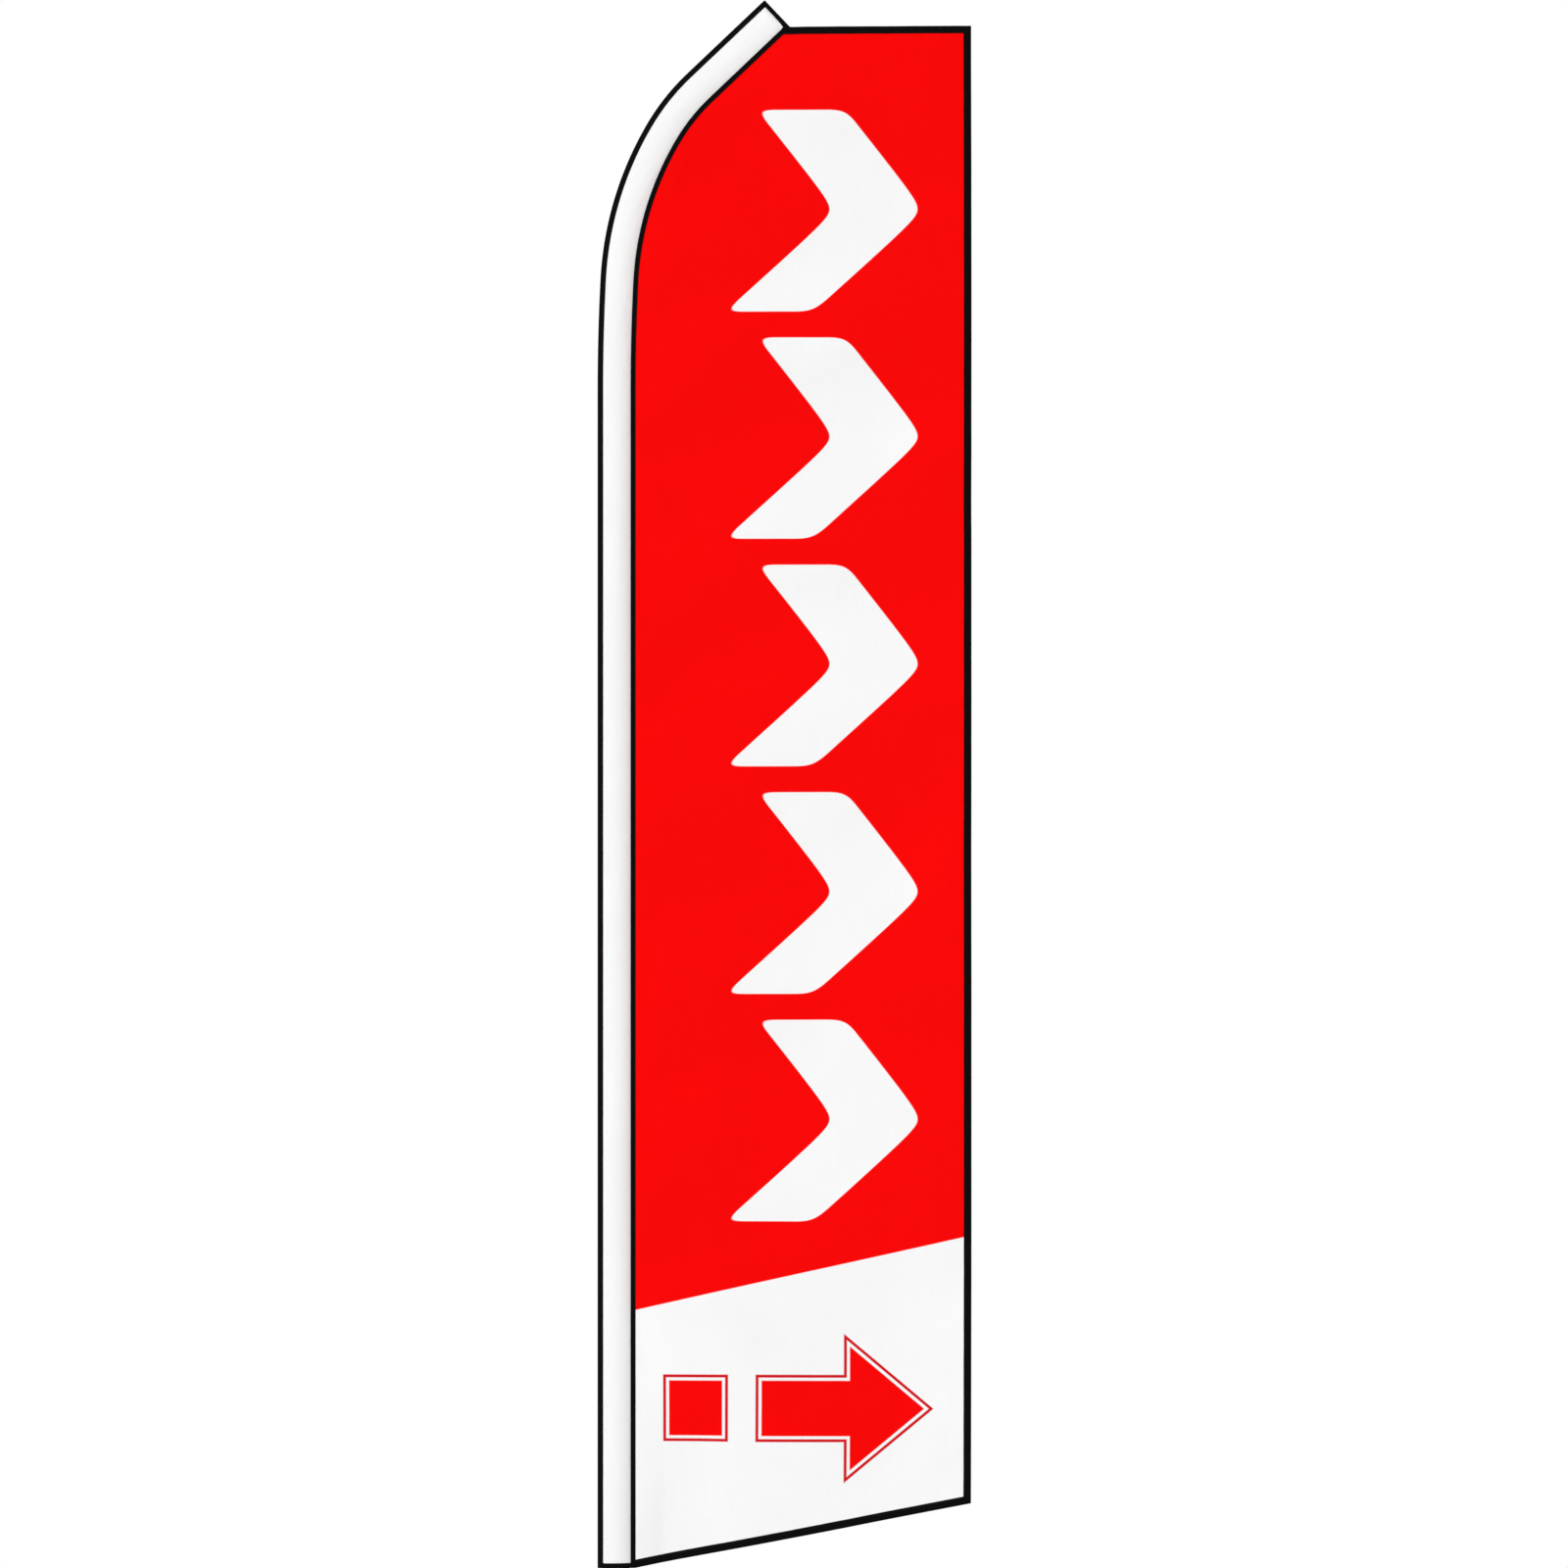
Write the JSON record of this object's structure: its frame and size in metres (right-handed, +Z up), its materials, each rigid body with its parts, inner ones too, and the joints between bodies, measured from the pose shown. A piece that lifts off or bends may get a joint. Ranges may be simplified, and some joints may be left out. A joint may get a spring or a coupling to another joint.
{
  "type": "feather flag with pole",
  "caption": "Tall swooper style feather flag in red and white, with a bent sleeve, on a slip-fit pole that turns on a ball-bearing ground spike.",
  "frame": {"origin": "where the pole's axis meets the ground, on the underside of the stop plate", "axes": "+Z up along the pole, +X towards the fly edge of the banner, Y through its thickness"},
  "size_m": [0.834, 0.16, 5.1168],
  "materials": {
    "zinc_steel": "satin",
    "bearing_steel": "polished",
    "black_steel": "satin",
    "aluminium": "satin",
    "brass": "satin",
    "black_plastic": "satin",
    "rubber": "matte",
    "fibreglass": "satin",
    "printed_cloth": "matte",
    "white_cloth": "matte",
    "black_tape": "matte"
  },
  "bodies": {
    "ground_spike": {"spike_rod": "zinc_steel", "stop_plate": "zinc_steel", "bearing_housing": "black_steel", "housing_lid": "black_steel", "lid_seal": "rubber", "outer_spacer": "zinc_steel", "lower_outer_race": "bearing_steel", "upper_outer_race": "bearing_steel"},
    "ball_cages": {"lower_ball_cage": "brass", "upper_ball_cage": "brass", "lower_ball_1": "bearing_steel", "lower_ball_2": "bearing_steel", "lower_ball_3": "bearing_steel", "lower_ball_4": "bearing_steel", "lower_ball_5": "bearing_steel", "lower_ball_6": "bearing_steel", "lower_ball_7": "bearing_steel", "lower_ball_8": "bearing_steel", "upper_ball_1": "bearing_steel", "upper_ball_2": "bearing_steel", "upper_ball_3": "bearing_steel", "upper_ball_4": "bearing_steel", "upper_ball_5": "bearing_steel", "upper_ball_6": "bearing_steel", "upper_ball_7": "bearing_steel", "upper_ball_8": "bearing_steel"},
    "spindle_rotor": {"spindle": "zinc_steel", "spindle_circlip": "zinc_steel", "lower_inner_race": "bearing_steel", "upper_inner_race": "bearing_steel", "inner_spacer": "zinc_steel", "lower_o_ring": "rubber", "upper_o_ring": "rubber"},
    "lower_pole": {"lower_pole_tube": "aluminium", "pole_base_bush": "black_plastic", "cord_hook_collar": "black_plastic"},
    "middle_pole": {"middle_pole_tube": "aluminium", "middle_pole_collar": "black_plastic"},
    "upper_pole": {"upper_pole_tube": "aluminium", "upper_pole_collar": "black_plastic"},
    "tip_and_flag": {"tip_ferrule": "black_plastic", "tip_rod": "fibreglass", "tip_cap": "rubber", "tip_pocket": "black_tape", "pole_sleeve": "white_cloth", "mouth_binding": "black_tape", "sleeve_edge_piping": "black_tape", "sleeve_tip_binding": "black_tape", "seam_tape": "black_tape", "banner_panel": "printed_cloth", "top_binding": "black_tape", "fly_binding": "black_tape", "bottom_binding": "black_tape", "tie_tab": "black_tape", "tie_eyelet": "brass"}
  },
  "joints": [
    {"name": "spindle_spin", "type": "hinge", "parent": "ground_spike", "child": "spindle_rotor", "pos_m": [0, 0, 0.0577], "axis": [0, 0, 1], "continuous": true},
    {"name": "ball_orbit", "type": "hinge", "parent": "ground_spike", "child": "ball_cages", "pos_m": [0, 0, 0.04], "axis": [0, 0, 1], "continuous": true},
    {"name": "pole_lift", "type": "slide", "parent": "spindle_rotor", "child": "lower_pole", "axis": [0, 0, 1], "range_m": [0, 0.18]},
    {"name": "middle_pole_pull", "type": "slide", "parent": "lower_pole", "child": "middle_pole", "axis": [0, 0, 1], "range_m": [0, 0.1]},
    {"name": "upper_pole_pull", "type": "slide", "parent": "middle_pole", "child": "upper_pole", "axis": [0, 0, 1], "range_m": [0, 0.1]},
    {"name": "tip_rod_pull", "type": "slide", "parent": "upper_pole", "child": "tip_and_flag", "axis": [0, 0, 1], "range_m": [0, 0.1]}
  ],
  "couplings": [
    {"joint": "ball_orbit", "follows": "spindle_spin", "ratio": 0.384}
  ]
}
